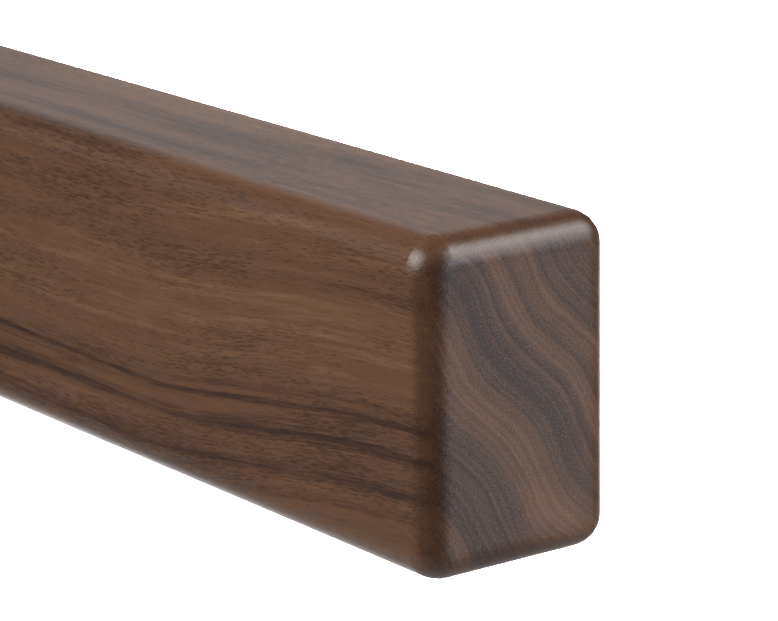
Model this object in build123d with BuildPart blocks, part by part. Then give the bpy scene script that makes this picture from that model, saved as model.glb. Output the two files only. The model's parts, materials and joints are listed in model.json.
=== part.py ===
"""A straight walnut grab rail on two turned stand-off posts, bolted through a bulkhead.

Frame: X runs along the rail, +Y points into the bulkhead and +Z is up. The origin lies on the
bulkhead's near face, midway between the two studs. All sizes are in millimetres.
"""

import os
from math import sqrt

from build123d import *

# ---- driving dimensions -------------------------------------------------------------------

rail_length = 600.0
rail_height = 60.0
rail_width = 40.0
edge_radius = 6.0  # rounding of the rail's four long edges
end_radius = 5.7  # rounding round its two ends, a little tighter, so each corner blends smoothly

hand_gap = 38.0  # from the bulkhead's face to the rail's back
post_spacing = 400.0
bulkhead_thickness = 12.0  # the panel that the studs clamp

stud_radius = 4.0
thread_depth = 0.4  # from the plain shank down to the thread's pitch cylinder
stud_tip_chamfer = 0.6
stud_key = 4.0  # across flats of the socket in the stud's outer end
stud_key_depth = 5.0
shank_lead = 1.0  # how far the plain shank reaches into the gasket
thread_reach = 4.0  # how far the outer thread runs back into the bulkhead

insert_length = 18.0
insert_wall = 2.0
ridge_height = 1.2
ridge_count = 5
insert_key = 8.0  # across flats of the insert's driving socket
insert_key_depth = 4.0
insert_short = 1.0  # how far the stud stops short of the insert's deep end
pocket_relief = 3.0  # free depth in the wood beyond the insert

seat_radius = 14.0
seat_thickness = 2.0
seat_let_in = 1.0  # how much of the seat washer is sunk into the rail
clearance_hole = 0.5  # round the stud in washers, plates and the pocket's relief
rim_chamfer = 0.4

post_radius = 10.0
foot_radius = 17.0
foot_thickness = 4.0
collar_radius = 13.0
collar_thickness = 3.0
rim_radius = 0.8  # rounding of the foot's and the collar's outer rims

grub_radius = 2.2
grub_key = 2.5
grub_key_depth = 2.2
grub_tip_gap = 0.05
grub_sunk = 0.4  # the screw stops this far under the post's skin
grub_chamfer = 0.5

gasket_thickness = 2.0
gasket_bore_radius = 5.5
gasket_rim = 0.6

plate_length = 50.0
plate_height = 34.0
plate_thickness = 3.0
plate_corner = 6.0
plate_edge = 0.8

washer_radius = 8.0
washer_thickness = 1.6
washer_rim = 0.3

lock_outer_radius = 7.4
lock_thickness = 2.0
lock_slit = 1.2
lock_slit_tilt = 25.0

nut_across_flats = 13.0
nut_hex_height = 6.5
nut_height = 15.0
nut_dome_step = 0.3  # from the hexagon's flats in to the dome
nut_bore_depth = 11.0
nut_corner_drop = 1.0  # how far the hexagon's corners are turned down
stud_in_nut = 9.0

# ---- places that follow from them ----------------------------------------------------------

thread_radius = stud_radius - thread_depth
hole_radius = stud_radius + clearance_hole

rail_back = -hand_gap
rail_front = rail_back - rail_width
# The seat washer stands on the flat of the rail's back, just above its lower rounding.
rail_bottom = -(seat_radius + edge_radius)
rail_middle = rail_bottom + rail_height / 2

seat_floor = rail_back - seat_let_in
seat_top = seat_floor + seat_thickness
insert_end = seat_floor - insert_length
stud_inner_end = insert_end + insert_short
pocket_end = insert_end - pocket_relief

foot_face = -gasket_thickness
foot_top = foot_face - foot_thickness
foot_cove = foot_radius - post_radius
collar_top = seat_top + collar_thickness
collar_cove = collar_radius - post_radius
body_start = foot_top - foot_cove
body_end = collar_top + collar_cove
grub_place = (body_start + body_end) / 2

shank_start = foot_face + shank_lead
shank_end = bulkhead_thickness - thread_reach
plate_face = bulkhead_thickness
washer_face = plate_face + plate_thickness
lock_face = washer_face + washer_thickness
nut_face = lock_face + lock_thickness
stud_outer_end = nut_face + stud_in_nut
hex_end = nut_face + nut_hex_height
dome_radius = nut_across_flats / 2 - nut_dome_step
dome_start = nut_face + nut_height - dome_radius

sides = {"left": -post_spacing / 2, "right": post_spacing / 2}


def flat_of(x):
    """The plane through a post's axis: its X is the radius and its Y runs along the post."""
    return Plane(origin=(x, 0, 0), x_dir=(1, 0, 0), z_dir=(0, 0, 1))


def facing(x, y):
    """The plane across a post's axis at y, seen from the rail and looking at the bulkhead."""
    return Plane(origin=(x, y, 0), x_dir=(1, 0, 0), z_dir=(0, 1, 0))


def along(x):
    """The axis of the post at x."""
    return Axis((x, 0, 0), (0, 1, 0))


def circles_of(part, radius):
    """The part's circular edges that have this radius."""
    return part.edges().filter_by(GeomType.CIRCLE).filter_by(lambda edge: abs(edge.radius - radius) < 1e-6)


def insert_outline():
    """The insert's outer profile as (radius, y) points: a core with saw-tooth ridges on it."""
    core = thread_radius + insert_wall
    pitch = insert_length / (ridge_count + 1)
    points = [(core, seat_floor)]
    for ridge in range(ridge_count):
        start = seat_floor - pitch * (ridge + 0.5)
        points.append((core, start))
        points.append((core + ridge_height, start - pitch * 0.5))
        points.append((core, start - pitch * 0.75))
    points.append((core, insert_end))
    return points


# ---- the rail -------------------------------------------------------------------------------


def make_rail():
    """The walnut bar, with a blind pocket in its back for each insert and its seat washer."""
    with BuildPart() as rail:
        with BuildSketch(Plane.YZ.offset(-rail_length / 2)):
            with Locations(((rail_front + rail_back) / 2, rail_middle)):
                Rectangle(rail_width, rail_height)
        extrude(amount=rail_length)
        fillet(rail.edges().filter_by(Axis.X), radius=edge_radius)
        ends = rail.faces().filter_by(Axis.X)
        fillet(ends.edges(), radius=end_radius)
        for x in sides.values():
            with BuildSketch(flat_of(x)):
                with BuildLine():
                    Polyline(
                        (0, rail_back),
                        (seat_radius, rail_back),
                        (seat_radius, seat_floor),
                        *insert_outline(),
                        (hole_radius, insert_end),
                        (hole_radius, pocket_end),
                        (0, pocket_end),
                        close=True,
                    )
                make_face()
            revolve(axis=along(x), mode=Mode.SUBTRACT)
    return rail.part


# ---- what joins a post to the rail -----------------------------------------------------------


def make_insert(x):
    """The brass threaded insert that is screwed into the rail."""
    with BuildPart() as insert:
        with BuildSketch(flat_of(x)):
            with BuildLine():
                Polyline(
                    (thread_radius, seat_floor),
                    *insert_outline(),
                    (thread_radius, insert_end),
                    close=True,
                )
            make_face()
        revolve(axis=along(x))
        with BuildSketch(facing(x, seat_floor)):
            RegularPolygon(insert_key / 2, 6, major_radius=False)
        extrude(amount=-insert_key_depth, mode=Mode.SUBTRACT)
    return insert.part


def make_stud(x):
    """The double-ended stud: threaded in the insert, post and nut, plain through the bulkhead."""
    with BuildPart() as stud:
        with BuildSketch(flat_of(x)):
            with BuildLine():
                Polyline(
                    (0, stud_inner_end),
                    (thread_radius - stud_tip_chamfer, stud_inner_end),
                    (thread_radius, stud_inner_end + stud_tip_chamfer),
                    (thread_radius, shank_start),
                    (stud_radius, shank_start),
                    (stud_radius, shank_end),
                    (thread_radius, shank_end),
                    (thread_radius, stud_outer_end - stud_tip_chamfer),
                    (thread_radius - stud_tip_chamfer, stud_outer_end),
                    (0, stud_outer_end),
                    close=True,
                )
            make_face()
        revolve(axis=along(x))
        with BuildSketch(facing(x, stud_outer_end)):
            RegularPolygon(stud_key / 2, 6, major_radius=False)
        extrude(amount=-stud_key_depth, mode=Mode.SUBTRACT)
    return stud.part


def make_seat_washer(x):
    """The thick washer let into the rail's back, which the post tightens against."""
    with BuildPart() as seat_washer:
        with BuildSketch(facing(x, seat_floor)):
            Circle(seat_radius)
            Circle(hole_radius, mode=Mode.SUBTRACT)
        extrude(amount=seat_thickness)
        rims = seat_washer.edges().filter_by(GeomType.CIRCLE).group_by(Axis.Y)[-1]
        chamfer(rims, length=rim_chamfer)
    return seat_washer.part


# ---- the post --------------------------------------------------------------------------------


def make_post(x):
    """The turned post: a broad foot, a cove into a plain body, and a collar at the rail."""
    with BuildPart() as post:
        with BuildSketch(flat_of(x)):
            with BuildLine():
                Line((thread_radius, foot_face), (foot_radius, foot_face))
                Line((foot_radius, foot_face), (foot_radius, foot_top))
                RadiusArc((foot_radius, foot_top), (post_radius, body_start), -foot_cove)
                Line((post_radius, body_start), (post_radius, body_end))
                RadiusArc((post_radius, body_end), (collar_radius, collar_top), -collar_cove)
                Line((collar_radius, collar_top), (collar_radius, seat_top))
                Line((collar_radius, seat_top), (thread_radius, seat_top))
                Line((thread_radius, seat_top), (thread_radius, foot_face))
            make_face()
        revolve(axis=along(x))
        fillet(circles_of(post, foot_radius).group_by(Axis.Y)[-1], radius=rim_radius)
        fillet(circles_of(post, collar_radius).group_by(Axis.Y)[0], radius=rim_radius)
        with BuildSketch(Plane.XY):
            with Locations((x, grub_place)):
                Circle(grub_radius)
        extrude(amount=-post_radius, mode=Mode.SUBTRACT)
    return post.part


def make_grub_screw(x):
    """The cup-point screw in the post's underside, which locks the post on the stud's thread."""
    lower = -(post_radius - grub_sunk)
    upper = -(thread_radius + grub_tip_gap)
    with BuildPart() as grub_screw:
        with BuildSketch(Plane.XY.offset(lower)):
            with Locations((x, grub_place)):
                Circle(grub_radius)
        extrude(amount=upper - lower)
        chamfer(grub_screw.edges().group_by(Axis.Z)[-1], length=grub_chamfer)
        with BuildSketch(Plane.XY.offset(lower)):
            with Locations((x, grub_place)):
                RegularPolygon(grub_key / 2, 6, major_radius=False)
        extrude(amount=grub_key_depth, mode=Mode.SUBTRACT)
    return grub_screw.part


def make_foot_gasket(x):
    """The rubber ring that seals the stud's hole under the foot."""
    with BuildPart() as foot_gasket:
        with BuildSketch(facing(x, foot_face)):
            Circle(foot_radius)
            Circle(gasket_bore_radius, mode=Mode.SUBTRACT)
        extrude(amount=gasket_thickness)
        fillet(circles_of(foot_gasket, foot_radius).group_by(Axis.Y)[0], radius=gasket_rim)
    return foot_gasket.part


# ---- what clamps the bulkhead ------------------------------------------------------------------


def make_backing_plate(x):
    """The plate that spreads the pull over the bulkhead's far side."""
    with BuildPart() as backing_plate:
        with BuildSketch(facing(x, plate_face)):
            RectangleRounded(plate_length, plate_height, plate_corner)
            Circle(hole_radius, mode=Mode.SUBTRACT)
        extrude(amount=plate_thickness)
        far_side = backing_plate.faces().sort_by(Axis.Y)[-1]
        fillet(far_side.outer_wire().edges(), radius=plate_edge)
    return backing_plate.part


def make_plain_washer(x):
    """The flat washer that keeps the lock washer's edges off the backing plate."""
    with BuildPart() as plain_washer:
        with BuildSketch(facing(x, washer_face)):
            Circle(washer_radius)
            Circle(hole_radius, mode=Mode.SUBTRACT)
        extrude(amount=washer_thickness)
        chamfer(circles_of(plain_washer, washer_radius).group_by(Axis.Y)[-1], length=washer_rim)
    return plain_washer.part


def make_lock_washer(x):
    """The split spring washer, pressed flat, with its slanting slit."""
    ring_middle = (hole_radius + lock_outer_radius) / 2
    ring_width = lock_outer_radius - hole_radius
    with BuildPart() as lock_washer:
        with BuildSketch(facing(x, lock_face)):
            Circle(lock_outer_radius)
            Circle(hole_radius, mode=Mode.SUBTRACT)
        extrude(amount=lock_thickness)
        slit_place = Location((x + ring_middle, lock_face + lock_thickness / 2, 0), (lock_slit_tilt, 0, 0))
        with Locations(slit_place):
            Box(2 * ring_width, 3 * lock_thickness, lock_slit, mode=Mode.SUBTRACT)
    return lock_washer.part


def make_cap_nut(x):
    """The domed nut: a hexagon with turned corners, a round dome and a blind thread."""
    corner_radius = nut_across_flats / sqrt(3)
    with BuildPart() as cap_nut:
        with BuildSketch(facing(x, nut_face)):
            RegularPolygon(nut_across_flats / 2, 6, major_radius=False)
        extrude(amount=nut_hex_height)
        with BuildSketch(flat_of(x)):
            with BuildLine():
                Polyline(
                    (0, nut_face),
                    (corner_radius - nut_corner_drop, nut_face),
                    (corner_radius, nut_face + nut_corner_drop / 2),
                    (corner_radius, hex_end - nut_corner_drop / 2),
                    (corner_radius - nut_corner_drop, hex_end),
                    (0, hex_end),
                    close=True,
                )
            make_face()
        revolve(axis=along(x), mode=Mode.INTERSECT)
        with BuildSketch(flat_of(x)):
            with BuildLine():
                Line((0, nut_face), (dome_radius, nut_face))
                Line((dome_radius, nut_face), (dome_radius, dome_start))
                RadiusArc((dome_radius, dome_start), (0, nut_face + nut_height), -dome_radius)
                Line((0, nut_face + nut_height), (0, nut_face))
            make_face()
        revolve(axis=along(x))
        with BuildSketch(facing(x, nut_face)):
            Circle(thread_radius)
        extrude(amount=nut_bore_depth, mode=Mode.SUBTRACT)
    return cap_nut.part


# ---- the assembly --------------------------------------------------------------------------------

makers = {
    "threaded_insert": make_insert,
    "stud": make_stud,
    "seat_washer": make_seat_washer,
    "post": make_post,
    "grub_screw": make_grub_screw,
    "foot_gasket": make_foot_gasket,
    "backing_plate": make_backing_plate,
    "plain_washer": make_plain_washer,
    "lock_washer": make_lock_washer,
    "cap_nut": make_cap_nut,
}

os.makedirs("parts", exist_ok=True)

rail_part = make_rail()
rail_part.label = "rail"
export_step(rail_part, "parts/rail.step")

for side, post_x in sides.items():
    for name, make in makers.items():
        piece = make(post_x)
        piece.label = f"{side}_{name}"
        export_step(piece, f"parts/{piece.label}.step")
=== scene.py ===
"""Looks for the walnut grab rail: oiled walnut, stainless steel, brass and rubber.

Everything is in metres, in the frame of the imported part: X along the rail, +Y into the bulkhead
and +Z up. The shapes are the part's own; this file gives each one its finish.
"""

import json
import math

import bpy
from mathutils import Matrix, Vector


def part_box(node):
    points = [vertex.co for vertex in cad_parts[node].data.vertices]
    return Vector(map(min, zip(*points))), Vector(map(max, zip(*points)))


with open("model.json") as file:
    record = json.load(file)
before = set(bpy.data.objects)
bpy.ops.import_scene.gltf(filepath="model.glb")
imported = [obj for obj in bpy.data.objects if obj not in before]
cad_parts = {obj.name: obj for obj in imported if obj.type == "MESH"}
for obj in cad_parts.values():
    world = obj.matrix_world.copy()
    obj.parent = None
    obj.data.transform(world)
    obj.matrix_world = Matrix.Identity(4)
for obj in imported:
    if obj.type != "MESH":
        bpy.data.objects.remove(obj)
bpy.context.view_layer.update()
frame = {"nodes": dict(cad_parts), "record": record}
rail_low, rail_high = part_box("rail")
rail_middle = (rail_low + rail_high) / 2
rail_height = rail_high.z - rail_low.z


# ---- small helpers for node trees -------------------------------------------------------------


class Finish:
    """A material under construction, with short ways to add and join its nodes."""

    def __init__(self, name):
        self.material = bpy.data.materials.new(name)
        self.material.use_nodes = True
        self.tree = self.material.node_tree
        self.shader = self.tree.nodes["Principled BSDF"]
        self.place = self.node("ShaderNodeTexCoord").outputs["Object"]

    def node(self, kind, **settings):
        made = self.tree.nodes.new(kind)
        for key, value in settings.items():
            setattr(made, key, value)
        return made

    def feed(self, socket, value):
        """Joins a socket to another node's output, or sets it to a plain value."""
        if isinstance(value, bpy.types.NodeSocket):
            self.tree.links.new(value, socket)
        else:
            socket.default_value = value

    def math(self, operation, first, second=0.0, third=0.0):
        made = self.node("ShaderNodeMath", operation=operation)
        for socket, value in zip(made.inputs, (first, second, third)):
            self.feed(socket, value)
        return made.outputs[0]

    def stretched(self, source, scale, move=(0.0, 0.0, 0.0)):
        """The coordinates moved and then scaled along each axis."""
        made = self.node("ShaderNodeMapping")
        self.feed(made.inputs["Vector"], source)
        made.inputs["Location"].default_value = move
        made.inputs["Scale"].default_value = scale
        return made.outputs[0]

    def noise(self, source, scale, detail=2.0, rough=0.5):
        made = self.node("ShaderNodeTexNoise")
        self.feed(made.inputs["Vector"], source)
        made.inputs["Scale"].default_value = scale
        made.inputs["Detail"].default_value = detail
        made.inputs["Roughness"].default_value = rough
        return made.outputs[0]

    def ramp(self, value, stops):
        """A smooth ramp from (position, colour or grey) stops."""
        made = self.node("ShaderNodeValToRGB")
        made.color_ramp.interpolation = "EASE"
        points = made.color_ramp.elements
        while len(points) < len(stops):
            points.new(0.5)
        for point, (position, colour) in zip(points, stops):
            point.position = position
            grey = not isinstance(colour, tuple)
            point.color = (colour, colour, colour, 1.0) if grey else (*colour, 1.0)
        self.feed(made.inputs["Fac"], value)
        return made.outputs["Color"]

    def band(self, value, low, high):
        """0 below low, 1 above high and a smooth rise between; low may be the larger."""
        made = self.node("ShaderNodeMapRange", interpolation_type="SMOOTHSTEP")
        self.feed(made.inputs["Value"], value)
        made.inputs["From Min"].default_value = low
        made.inputs["From Max"].default_value = high
        return made.outputs["Result"]

    def mix(self, amount, first, second):
        made = self.node("ShaderNodeMix", data_type="RGBA")
        self.feed(made.inputs["Factor"], amount)
        for socket, value in ((made.inputs[6], first), (made.inputs[7], second)):
            self.feed(socket, (*value, 1.0) if isinstance(value, tuple) else value)
        return made.outputs[2]

    def bump(self, height, depth, strength=1.0):
        made = self.node("ShaderNodeBump")
        self.feed(made.inputs["Height"], height)
        made.inputs["Strength"].default_value = strength
        made.inputs["Distance"].default_value = depth
        self.feed(self.shader.inputs["Normal"], made.outputs[0])

    def settle(self, **values):
        """Sets the shader's own sockets by name, with _ for a space."""
        for key, value in values.items():
            self.feed(self.shader.inputs[key.replace("_", " ")], value)


# ---- oiled walnut -------------------------------------------------------------------------------

PITH = (rail_low.y - 0.0046, rail_low.z + 0.0018)  # the tree's centre at the right end
RISE_LENGTH = 0.095  # the grain climbs over this last stretch of the rail's right end
RISE_HEIGHT = 0.0105
RISE_AT_TOP = 0.45  # the share of the climb that is left at the rail's top
# How light the wood is at each distance from the pith: 0 is dark heart, 1 is pale early wood.
LONG_RINGS = (
    (0.0080, 0.40), (0.0130, 0.44), (0.0152, 0.28), (0.0168, 0.42), (0.0200, 0.46), (0.0214, 0.30),
    (0.0225, 0.16), (0.0236, 0.34), (0.0252, 0.46), (0.0265, 0.34), (0.0275, 0.20), (0.0289, 0.38),
    (0.0310, 0.52), (0.0360, 0.58), (0.0430, 0.60), (0.0474, 0.50), (0.0484, 0.42), (0.0496, 0.54),
    (0.0560, 0.55), (0.0600, 0.44), (0.0640, 0.34), (0.0690, 0.34), (0.0715, 0.62), (0.0800, 0.66),
    (0.0900, 0.50),
)
END_RINGS = (
    (0.0000, 0.40), (0.0070, 0.36), (0.0085, 0.52), (0.0110, 0.25), (0.0170, 0.21), (0.0200, 0.30),
    (0.0212, 0.14), (0.0225, 0.36), (0.0250, 0.60), (0.0282, 0.64), (0.0310, 0.46), (0.0335, 0.20),
    (0.0352, 0.10), (0.0375, 0.26), (0.0405, 0.24), (0.0424, 0.62), (0.0442, 0.52), (0.0458, 0.28),
    (0.0480, 0.42), (0.0498, 0.62), (0.0515, 0.34), (0.0530, 0.46), (0.0546, 0.18), (0.0580, 0.36),
    (0.0680, 0.32),
)
# The end's bands are drawn as if their centre were far off: almost straight, with a slow wave.
END_ACROSS, END_UPWARD = 0.80, 0.60
WAVE_LENGTH, WAVE_DEPTH, WAVE_CREST = 0.030, 0.0012, 0.007
# How far the rings stray from their true distance: slowly, more quickly and along their edges.
DRIFT, RIPPLE, RAGGED_EDGE, END_SWAY = 0.006, 0.0036, 0.0016, 0.0022
LONG_RINGS_PER_METRE, END_RINGS_PER_METRE = 620.0, 1050.0
# The length and width of a pore's cell.
COARSE_PORE, FINE_PORE, LONG_PORE = (0.0036, 0.00036), (0.0020, 0.00022), (0.0110, 0.00034)
LONG_SHADES = (
    (0.05, (0.050, 0.025, 0.018)), (0.50, (0.160, 0.078, 0.041)), (0.95, (0.262, 0.139, 0.073)),
)
END_SHADES = (
    (0.05, (0.036, 0.017, 0.012)), (0.50, (0.121, 0.054, 0.027)), (0.95, (0.200, 0.097, 0.048)),
)
PORE_BROWN = (0.028, 0.015, 0.012)
# Painted shade: a darker brown laid over the rounded edges, in place of the shade they get between the
# lights.
PAINTED_SHADE_BROWN = (0.050, 0.017, 0.007)
END_SPECK = (0.300, 0.205, 0.150)


def along_the_grain(wood):
    """The place, raised away from the right end, so that marks climb with the grain near it.

    Returns the new place and its three parts: along the rail, across it and upward.
    """
    place = wood.node("ShaderNodeSeparateXYZ")
    wood.feed(place.inputs[0], wood.place)
    along, across, upward = place.outputs
    level = wood.band(along, rail_high.x, rail_high.x - RISE_LENGTH)
    share = wood.node("ShaderNodeMapRange")
    wood.feed(share.inputs["Value"], upward)
    share.inputs["From Min"].default_value = rail_middle.z - 0.010
    share.inputs["From Max"].default_value = rail_high.z
    share.inputs["To Min"].default_value = 1.0
    share.inputs["To Max"].default_value = RISE_AT_TOP
    rise = wood.math("MULTIPLY", wood.math("MULTIPLY", level, share.outputs[0]), RISE_HEIGHT)
    upward = wood.math("ADD", upward, rise)
    made = wood.node("ShaderNodeCombineXYZ")
    for socket, value in zip(made.inputs, (along, across, upward)):
        wood.feed(socket, value)
    return made.outputs[0], along, across, upward


def distance_from_pith(wood, grain, across, upward):
    """The distance from the pith, swayed by two noises that are long along the grain."""
    drift = wood.noise(wood.stretched(grain, (3.0, 30.0, 30.0), (0.3, 0.9, 0.2)), 1.0, 1.0)
    ripple = wood.noise(wood.stretched(grain, (7.0, 85.0, 85.0), (0.7, 0.3, 0.1)), 1.0, 2.0)
    sway = wood.math("MULTIPLY", wood.math("SUBTRACT", drift, 0.5), DRIFT)
    sway = wood.math("MULTIPLY_ADD", wood.math("SUBTRACT", ripple, 0.5), RIPPLE, sway)
    across = wood.math("SUBTRACT", across, PITH[0])
    upward = wood.math("SUBTRACT", upward, PITH[1])
    squares = wood.math("MULTIPLY_ADD", across, across, wood.math("MULTIPLY", upward, upward))
    return wood.math("ADD", wood.math("SQRT", squares), sway)


def place_in_end_bands(wood, across, upward):
    """How far a place on the end lies along the normal of its bands, less their slow wave."""
    across = wood.math("SUBTRACT", across, rail_low.y)
    upward = wood.math("SUBTRACT", upward, rail_low.z)
    normal = wood.math("MULTIPLY_ADD", across, END_ACROSS, wood.math("MULTIPLY", upward, END_UPWARD))
    run = wood.math("MULTIPLY_ADD", upward, END_ACROSS, wood.math("MULTIPLY", across, -END_UPWARD))
    turn = wood.math("MULTIPLY", wood.math("SUBTRACT", run, WAVE_CREST), math.tau / WAVE_LENGTH)
    normal = wood.math("MULTIPLY_ADD", wood.math("COSINE", turn), -WAVE_DEPTH, normal)
    sway = wood.noise(wood.stretched(wood.place, (20.0, 90.0, 90.0), (0.4, 0.1, 0.8)), 1.0, 2.0)
    return wood.math("MULTIPLY_ADD", wood.math("SUBTRACT", sway, 0.5), END_SWAY, normal)


def ringed(wood, distance, rings):
    """The tone at a distance from the pith, from a list of rings."""
    first, last = rings[0][0], rings[-1][0]
    share = wood.math("DIVIDE", wood.math("SUBTRACT", distance, first), last - first)
    return wood.ramp(share, [((ring - first) / (last - first), light) for ring, light in rings])


def thin_rings(wood, distance, along, crowding):
    """Thin rings, darker and paler by up to half a tone: noise along the distance alone."""
    spread = wood.node("ShaderNodeCombineXYZ")
    wood.feed(spread.inputs[0], wood.math("MULTIPLY", distance, crowding))
    wood.feed(spread.inputs[1], wood.math("MULTIPLY", along, 7.0))
    return wood.math("SUBTRACT", wood.noise(spread.outputs[0], 1.0, 3.0, 0.70), 0.5)


def pore_dashes(wood, grain, size, crowd):
    """1 inside a pore: cells long along the grain, dashes on a long face and dots on an end."""
    length, width = size
    cells = wood.node("ShaderNodeTexVoronoi")
    wood.feed(cells.inputs["Vector"], wood.stretched(grain, (1 / length, 1 / width, 1 / width)))
    cells.inputs["Scale"].default_value = 1.0
    away = wood.math("MULTIPLY_ADD", wood.math("SUBTRACT", crowd, 0.5), 0.9, cells.outputs["Distance"])
    return wood.band(away, 0.36, 0.17)


def end_grain(wood):
    """1 where the surface looks along the rail and 0 on the long faces; then a second mask, 1 on the
    rounding, which carries its painted shade.
    """
    shape = wood.node("ShaderNodeNewGeometry")
    side = wood.node("ShaderNodeSeparateXYZ")
    wood.feed(side.inputs[0], shape.outputs["Normal"])
    facing = wood.math("ABSOLUTE", side.outputs["X"])
    rounding_shade = wood.math("MULTIPLY", wood.band(facing, 0.15, 0.50), wood.band(facing, 0.985, 0.86))
    return wood.band(facing, 0.55, 0.97), rounding_shade


def walnut():
    """Solid walnut, with rings round a pith that lies along the rail and pores along the grain.

    On the long faces the tone is a ramp over the distance from the pith, plus noise along that
    distance for the thin rings and noise stretched along the grain for the streaks. The ends have
    bands of their own, which don't follow on from the rings of the long faces, and a fine stipple.
    """
    wood = Finish("oiled_walnut")
    grain, along, across, upward = along_the_grain(wood)
    distance = distance_from_pith(wood, grain, across, upward)
    end, rounding_shade = end_grain(wood)

    ragged = wood.noise(wood.stretched(grain, (70.0, 600.0, 600.0), (0.5, 0.2, 0.3)), 1.0, 2.0, 0.6)
    distance = wood.math("MULTIPLY_ADD", wood.math("SUBTRACT", ragged, 0.5), RAGGED_EDGE, distance)
    narrow = thin_rings(wood, distance, along, LONG_RINGS_PER_METRE)
    streaks = wood.noise(wood.stretched(grain, (20.0, 480.0, 480.0)), 1.0, 3.0, 0.6)
    streak = wood.math("SUBTRACT", streaks, 0.5)
    fine = wood.noise(wood.stretched(grain, (120.0, 2600.0, 2600.0)), 1.0, 2.0, 0.6)
    crowd = wood.noise(wood.stretched(grain, (16.0, 130.0, 130.0), (0.2, 0.4, 0.6)), 1.0, 2.0)

    tone = wood.math("MULTIPLY_ADD", narrow, 0.55, ringed(wood, distance, LONG_RINGS))
    tone = wood.math("MULTIPLY_ADD", streak, 0.70, tone)
    tone = wood.math("MULTIPLY_ADD", wood.math("SUBTRACT", fine, 0.5), 0.45, tone)
    colour = wood.ramp(tone, LONG_SHADES)
    coarse_pores = pore_dashes(wood, grain, COARSE_PORE, crowd)
    fine_pores = pore_dashes(wood, grain, FINE_PORE, crowd)
    long_pores = pore_dashes(wood, grain, LONG_PORE, crowd)
    pores = wood.math("MAXIMUM", coarse_pores, wood.math("MULTIPLY", fine_pores, 0.6))
    pores = wood.math("MAXIMUM", pores, wood.math("MULTIPLY", long_pores, 0.7))
    colour = wood.mix(wood.math("MULTIPLY", pores, 0.62), colour, PORE_BROWN)

    # The end's lower far side is warmer and paler, between two arms of its dark bands.
    warm = wood.math("MULTIPLY", wood.band(across, rail_low.y + 0.014, rail_low.y + 0.026),
                     wood.band(upward, rail_low.z + 0.024, rail_low.z + 0.010))
    stipple = wood.noise(wood.place, 3000.0, 2.0, 0.7)
    bands = place_in_end_bands(wood, across, upward)
    end_tone = wood.math("MULTIPLY_ADD", warm, 0.16, ringed(wood, bands, END_RINGS))
    end_narrow = thin_rings(wood, bands, along, END_RINGS_PER_METRE)
    end_tone = wood.math("MULTIPLY_ADD", end_narrow, 1.7, end_tone)
    end_tone = wood.math("MULTIPLY_ADD", wood.math("SUBTRACT", stipple, 0.5), 1.8, end_tone)
    end_colour = wood.ramp(end_tone, END_SHADES)
    end_colour = wood.mix(wood.math("MULTIPLY", pores, 0.35), end_colour, PORE_BROWN)
    speck = wood.noise(wood.stretched(wood.place, (1.0, 1.0, 0.6)), 4200.0, 1.0)
    specks = wood.math("MULTIPLY", wood.band(speck, 0.62, 0.76), 0.6)
    end_colour = wood.mix(specks, end_colour, END_SPECK)
    colour = wood.mix(end, colour, end_colour)
    # Painted shade: the rounding is darkened with a brown, standing in for the shade it falls into
    # between the lights.
    colour = wood.mix(wood.math("MULTIPLY", rounding_shade, 0.42), colour, PAINTED_SHADE_BROWN)

    rough = wood.math("MULTIPLY_ADD", end, 0.05, wood.math("MULTIPLY_ADD", fine, 0.14, 0.24))
    wood.settle(Base_Color=colour, Roughness=rough, IOR=1.5)
    height = wood.math("SUBTRACT", wood.math("MULTIPLY", fine, 0.6), wood.math("MULTIPLY", pores, 0.7))
    height = wood.math("MULTIPLY_ADD", wood.math("MULTIPLY", stipple, end), 2.0, height)
    wood.bump(height, 0.00004, 0.45)
    return wood.material


# ---- metals and rubber ----------------------------------------------------------------------------


def turned_steel():
    """Satin stainless with the fine rings a lathe leaves round each post, and faint smears."""
    steel = Finish("turned_stainless")
    rings = steel.noise(steel.stretched(steel.place, (60.0, 9000.0, 60.0)), 1.0, 2.0)
    smear = steel.noise(steel.place, 90.0, 3.0)
    rough = steel.math("MULTIPLY_ADD", rings, 0.12, steel.math("MULTIPLY_ADD", smear, 0.10, 0.20))
    colour = steel.ramp(smear, [(0.3, (0.48, 0.48, 0.475)), (0.7, (0.60, 0.60, 0.595))])
    steel.settle(Base_Color=colour, Metallic=1.0, Roughness=rough)
    steel.bump(rings, 0.00002, 0.5)
    return steel.material


def brushed_steel():
    """Satin stainless plate, brushed along the rail, with faint finger smears."""
    steel = Finish("brushed_stainless")
    brush = steel.noise(steel.stretched(steel.place, (45.0, 3200.0, 3200.0)), 1.0, 3.0, 0.6)
    smear = steel.noise(steel.place, 70.0, 3.0)
    colour = steel.ramp(steel.math("MULTIPLY_ADD", brush, 0.5, steel.math("MULTIPLY", smear, 0.5)),
                        [(0.35, (0.43, 0.43, 0.425)), (0.65, (0.60, 0.60, 0.595))])
    rough = steel.math("MULTIPLY_ADD", brush, 0.20, steel.math("MULTIPLY_ADD", smear, 0.12, 0.18))
    steel.settle(Base_Color=colour, Metallic=1.0, Roughness=rough)
    steel.bump(brush, 0.00002, 0.6)
    return steel.material


def bright_steel():
    """Plain stainless fasteners: brighter, with light wear and small scratches."""
    steel = Finish("fastener_stainless")
    scratch = steel.noise(steel.stretched(steel.place, (2500.0, 300.0, 2500.0)), 1.0, 3.0, 0.6)
    wear = steel.noise(steel.place, 260.0, 3.0)
    colour = steel.ramp(wear, [(0.35, (0.55, 0.55, 0.54)), (0.65, (0.68, 0.68, 0.67))])
    rough = steel.math("MULTIPLY_ADD", scratch, 0.16, 0.16)
    steel.settle(Base_Color=colour, Metallic=1.0, Roughness=rough)
    steel.bump(scratch, 0.00002, 0.4)
    return steel.material


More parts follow.
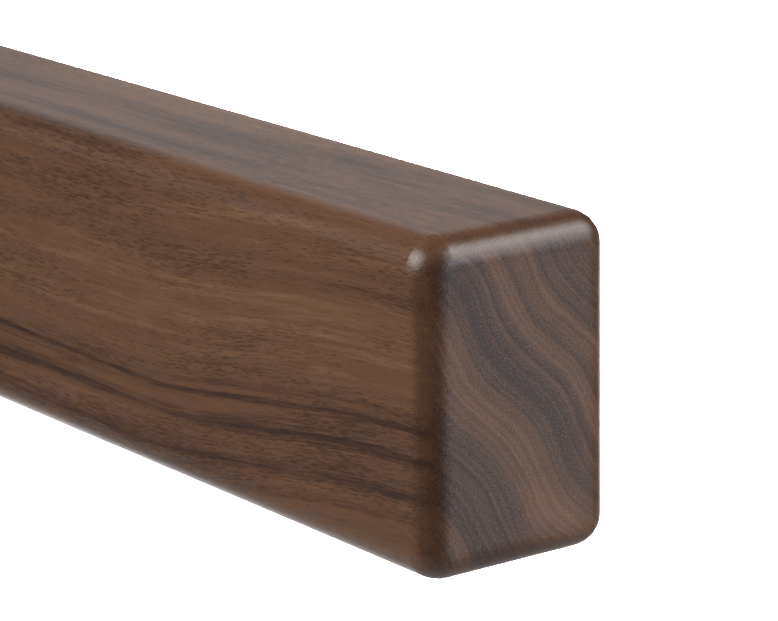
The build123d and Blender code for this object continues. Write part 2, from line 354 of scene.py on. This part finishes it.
def machined_brass():
    """Brass with fine turning marks and a slight brown tarnish."""
    brass = Finish("machined_brass")
    marks = brass.noise(brass.stretched(brass.place, (80.0, 8000.0, 80.0)), 1.0, 2.0)
    tarnish = brass.noise(brass.place, 400.0, 3.0)
    colour = brass.ramp(tarnish, [(0.35, (0.42, 0.26, 0.09)), (0.65, (0.66, 0.46, 0.18))])
    rough = brass.math("MULTIPLY_ADD", marks, 0.15, 0.22)
    brass.settle(Base_Color=colour, Metallic=1.0, Roughness=rough)
    brass.bump(marks, 0.00002, 0.5)
    return brass.material


def gasket_rubber():
    """Black moulded rubber with a dusty bloom and a fine grain."""
    rubber = Finish("gasket_rubber")
    grain = rubber.noise(rubber.place, 5200.0, 3.0)
    bloom = rubber.noise(rubber.place, 160.0, 3.0)
    colour = rubber.ramp(bloom, [(0.35, 0.012), (0.70, 0.032)])
    rubber.settle(Base_Color=colour, Roughness=rubber.math("MULTIPLY_ADD", grain, 0.2, 0.6))
    rubber.bump(grain, 0.00004, 0.6)
    return rubber.material


finishes = {
    "walnut": walnut(),
    "satin_steel": turned_steel(),
    "fastener_steel": bright_steel(),
    "insert_brass": machined_brass(),
    "gasket_rubber": gasket_rubber(),
}
plate_finish = brushed_steel()
for subpart in frame["record"]["subparts"]:
    shape = frame["nodes"][subpart["node"]]
    shape.data.materials.clear()
    is_plate = subpart["node"].endswith("backing_plate")
    shape.data.materials.append(plate_finish if is_plate else finishes[subpart["material_slot"]])


# ---- the camera ------------------------------------------------------------------------------------

SENSOR_WIDTH = 36.0
LENS = 178.24
TURN = math.radians(53.839)  # the camera stands this far round from the rail's front
DIP = math.radians(14.995)
ROLL = math.radians(-0.823)
# From the lower front corner of the rail's right end, in rail heights.
CAMERA_OFFSET = Vector((8.158, -6.089, 3.546))


def add_camera():
    ahead = Vector((-math.sin(TURN), math.cos(TURN), 0.0))
    looks = ahead * math.cos(DIP) - Vector((0.0, 0.0, math.sin(DIP)))
    level = Vector((math.cos(TURN), math.sin(TURN), 0.0))
    above = level.cross(looks)
    right = math.cos(ROLL) * level + math.sin(ROLL) * above
    up = -math.sin(ROLL) * level + math.cos(ROLL) * above
    data = bpy.data.cameras.new("camera")
    data.sensor_width = SENSOR_WIDTH
    data.lens = LENS
    data.clip_start, data.clip_end = 0.01, 100.0
    camera = bpy.data.objects.new("camera", data)
    bpy.context.scene.collection.objects.link(camera)
    corner = Vector((rail_high.x, rail_low.y, rail_low.z))
    turned = Matrix((right, up, -looks)).transposed().to_4x4()
    camera.matrix_world = Matrix.Translation(corner + CAMERA_OFFSET * rail_height) @ turned
    bpy.context.scene.camera = camera


# ---- the floor and the lights ----------------------------------------------------------------------

FLOOR_DROP = 1.0  # below the rail, far enough that its shadow stays soft and out of sight
FLOOR_SIZE = 60.0
RAIL_END = Vector((rail_high.x, rail_middle.y, rail_middle.z))
# The stretch of floor that lies behind the rail as the camera sees it, and the light above it.
FAR_FLOOR = Vector((-3.2, 2.5, rail_low.z - FLOOR_DROP))
FAR_LIGHT_HEIGHT = 2.2
# The stretch that the rail's end face mirrors to the camera.
END_FLOOR = Vector((3.7, 1.9, rail_low.z - FLOOR_DROP))
END_LIGHT_HEIGHT = 2.0


def add_floor():
    half = FLOOR_SIZE / 2
    level = rail_low.z - FLOOR_DROP
    mesh = bpy.data.meshes.new("floor")
    corners = [(x, y, level) for x, y in ((-half, -half), (half, -half), (half, half), (-half, half))]
    mesh.from_pydata(corners, [], [(0, 1, 2, 3)])
    floor = bpy.data.objects.new("floor", mesh)
    bpy.context.scene.collection.objects.link(floor)
    pale = Finish("pale_floor")
    pale.settle(Base_Color=(0.86, 0.86, 0.86, 1.0), Roughness=0.9, Specular_IOR_Level=0.1)
    mesh.materials.append(pale.material)


def add_light(name, place, aim, size, power, spread=180.0, tint=(1.0, 1.0, 1.0), run=None):
    """A soft light at a place, turned to its aim; a small spread is a grid over its front.

    A square light has one size. A strip has its length and its width, and run is the way it runs.
    """
    data = bpy.data.lights.new(name, "AREA")
    if run:
        data.shape = "RECTANGLE"
        data.size, data.size_y = size
    else:
        data.shape = "SQUARE"
        data.size = size
    data.energy = power
    data.spread = math.radians(spread)
    data.color = tint
    light = bpy.data.objects.new(name, data)
    light.visible_camera = False
    if run:
        back = (place - aim).normalized()
        along = (run - back * run.dot(back)).normalized()
        turn = Matrix((along, back.cross(along), back)).transposed()
    else:
        turn = (aim - place).to_track_quat("-Z", "Y").to_matrix()
    light.matrix_world = Matrix.Translation(place) @ turn.to_4x4()
    bpy.context.scene.collection.objects.link(light)


def round_the_end(azimuth, elevation, distance):
    """A place round the rail's right end: azimuth 0 is in front of the rail, 90 past its end."""
    turn, lift = math.radians(azimuth), math.radians(elevation)
    away = Vector((math.sin(turn) * math.cos(lift), -math.cos(turn) * math.cos(lift), math.sin(lift)))
    return RAIL_END + away * distance


def add_sky(strength, colour):
    world = bpy.data.worlds.new("studio")
    world.use_nodes = True
    backdrop = world.node_tree.nodes["Background"]
    backdrop.inputs["Color"].default_value = (*colour, 1.0)
    backdrop.inputs["Strength"].default_value = strength
    bpy.context.scene.world = world


add_camera()
add_floor()
add_sky(0.09, (0.97, 0.98, 1.0))
STRIP_START, STRIP_END = round_the_end(84, -6, 1.4), round_the_end(129, 21, 1.4)
add_light("key_softbox", round_the_end(-20, 32, 3.0), RAIL_END, 2.3, 15.8, 60.0)
add_light("rim_softbox", round_the_end(144, 38, 2.4), RAIL_END, 1.65, 8.6, 60.0)
add_light("low_sky_card", round_the_end(-126, 15, 3.2), RAIL_END, 2.0, 0.57, 60.0, (0.92, 0.96, 1.0))
add_light("window_strip", (STRIP_START + STRIP_END) / 2, RAIL_END, (1.05, 0.06), 0.40, 60.0,
          (0.62, 0.78, 1.0), STRIP_END - STRIP_START)
add_light("glint_card", round_the_end(122, 17, 1.6), RAIL_END, 0.12, 0.12, 40.0, (0.75, 0.86, 1.0))
add_light("far_floor_light", FAR_FLOOR + Vector((0, 0, FAR_LIGHT_HEIGHT)), FAR_FLOOR, 3.8, 440.0, 60.0)
add_light("end_floor_light", END_FLOOR + Vector((0, 0, END_LIGHT_HEIGHT)), END_FLOOR, 3.0, 88.0, 60.0,
          (0.86, 0.93, 1.0))
bpy.context.scene.view_settings.view_transform = "Standard"
